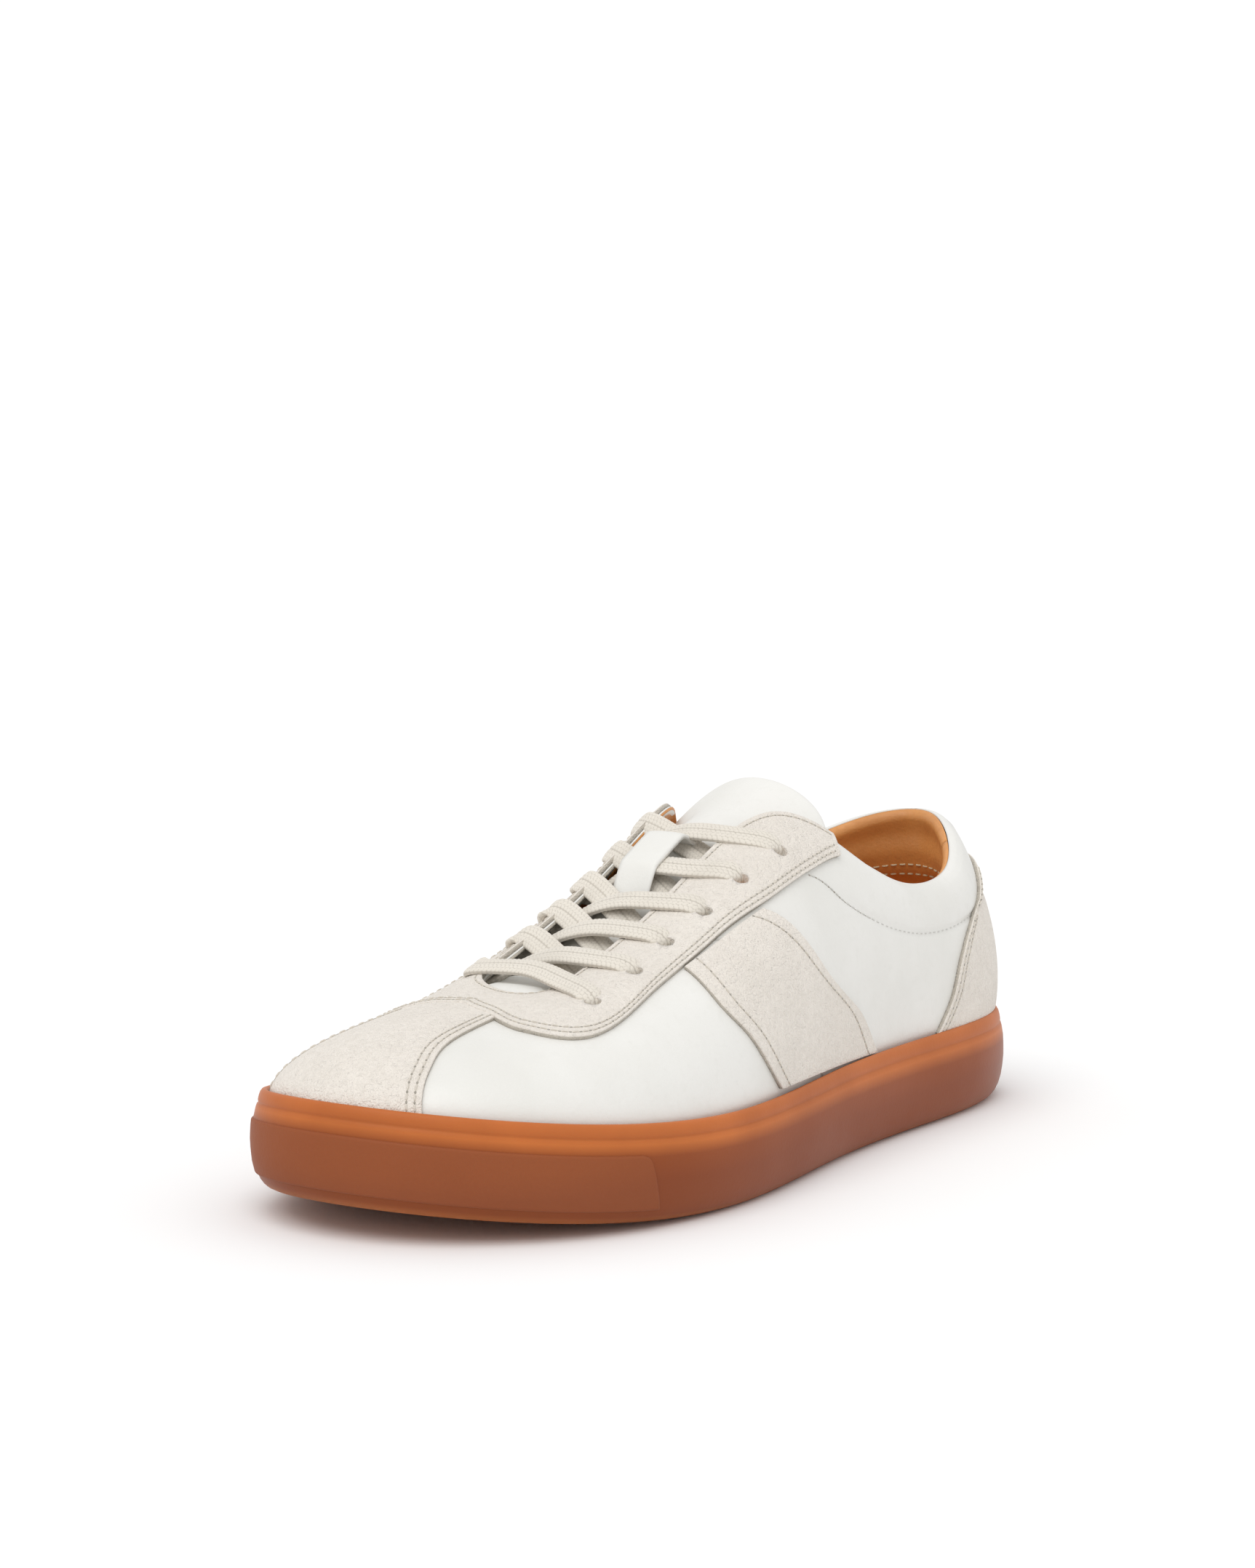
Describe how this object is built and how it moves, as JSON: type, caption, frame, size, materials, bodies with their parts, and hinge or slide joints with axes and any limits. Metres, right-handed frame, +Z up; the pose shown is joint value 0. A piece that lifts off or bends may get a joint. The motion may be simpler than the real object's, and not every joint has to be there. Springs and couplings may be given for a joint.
{
  "type": "court shoe",
  "caption": "Low lace-up court shoe for the left foot with leather upper, suede overlays and rubber cup sole.",
  "frame": {"origin": "on the floor under the middle of the shoe's box", "axes": "+X towards the toe, +Y towards the outer side of the left foot, +Z up"},
  "size_m": [0.3031, 0.1116, 0.1006],
  "materials": {
    "gum_rubber": "satin, slightly translucent",
    "bumper_rubber": "matte, fine texture",
    "white_leather": "smooth full grain, satin",
    "suede": "suede nap, matte",
    "tan_leather": "smooth lining leather, satin",
    "lining_cloth": "plain woven lining",
    "foam": "open cell foam",
    "cushion": "light foamed core",
    "board": "pressed fibre board",
    "lace_braid": "flat woven braid",
    "aglet": "clear sleeve over braid"
  },
  "bodies": {
    "shoe": {"cupsole": "gum_rubber", "toe_bumper": "bumper_rubber", "vamp": "white_leather", "lateral_quarter": "white_leather", "medial_quarter": "white_leather", "toe_cap": "suede", "eyestay": "suede", "lateral_stripe": "suede", "medial_stripe": "suede", "heel_overlay": "suede", "lateral_lining": "tan_leather", "medial_lining": "tan_leather", "heel_grip": "tan_leather", "footbed_cover": "tan_leather", "vamp_lining": "lining_cloth", "collar_foam": "foam", "footbed_foam": "foam", "cushion_core": "cushion", "lasting_board": "board", "heel_stiffener": "board", "toe_puff": "board", "lace": "lace_braid", "lace_aglets": "aglet"},
    "tongue": {"tongue_leather": "white_leather", "tongue_foam": "foam", "tongue_lining": "lining_cloth", "lace_keeper": "white_leather"}
  },
  "joints": [
    {"name": "tongue_hinge", "type": "hinge", "parent": "shoe", "child": "tongue", "pos_m": [0.09015, 0, 0.0425], "axis": [0, -1, 0], "range_deg": [0, 1.5], "stiffness_Nm_per_rad": 0.6}
  ]
}
